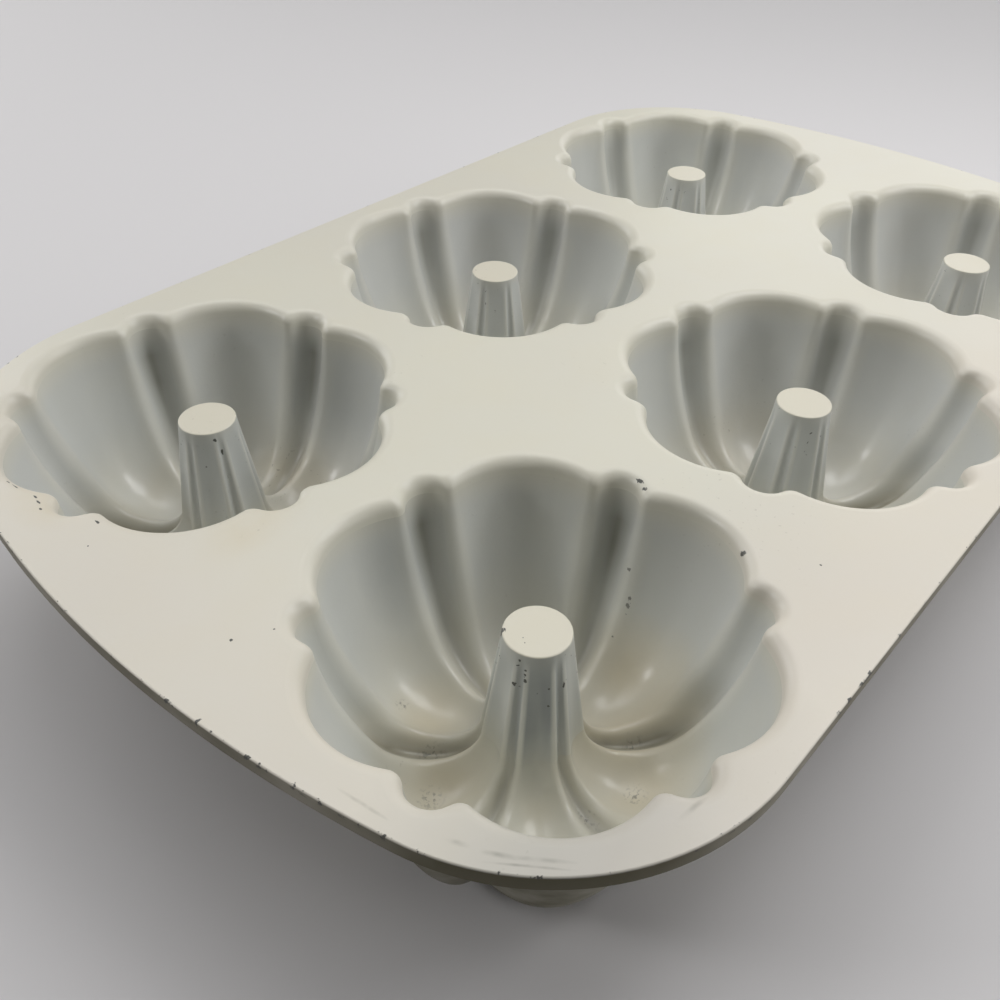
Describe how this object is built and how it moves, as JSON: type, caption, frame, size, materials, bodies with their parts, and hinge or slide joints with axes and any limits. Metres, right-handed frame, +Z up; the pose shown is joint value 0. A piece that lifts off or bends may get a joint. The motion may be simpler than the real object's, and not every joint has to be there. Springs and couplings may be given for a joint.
{
  "type": "mini fluted tube pan",
  "caption": "Flat cast baking pan with deep fluted ring-cake cups in a grid, each with a tapered flat-topped centre tube; cream coated and free standing.",
  "frame": {"origin": "on the table, under the middle of the pan", "axes": "+X along the long side of the deck, +Y along the short side, +Z up out of the cups"},
  "size_m": [0.3568, 0.228, 0.0498],
  "materials": {
    "deck_coating": "matte cream coating over cast aluminium, chipped to dark metal along the outer edge",
    "cup_coating": "satin cream-grey coating over cast aluminium, with light brown baking stains",
    "tube_coating": "satin cream-grey coating worn blue-grey on the sides, clean cream on the flat top"
  },
  "bodies": {
    "root": {"deck_plate": "deck_coating", "fluted_cup_a1": "cup_coating", "fluted_cup_a2": "cup_coating", "fluted_cup_a3": "cup_coating", "fluted_cup_b1": "cup_coating", "fluted_cup_b2": "cup_coating", "fluted_cup_b3": "cup_coating", "centre_tube_a1": "tube_coating", "centre_tube_a2": "tube_coating", "centre_tube_a3": "tube_coating", "centre_tube_b1": "tube_coating", "centre_tube_b2": "tube_coating", "centre_tube_b3": "tube_coating"}
  },
  "joints": []
}
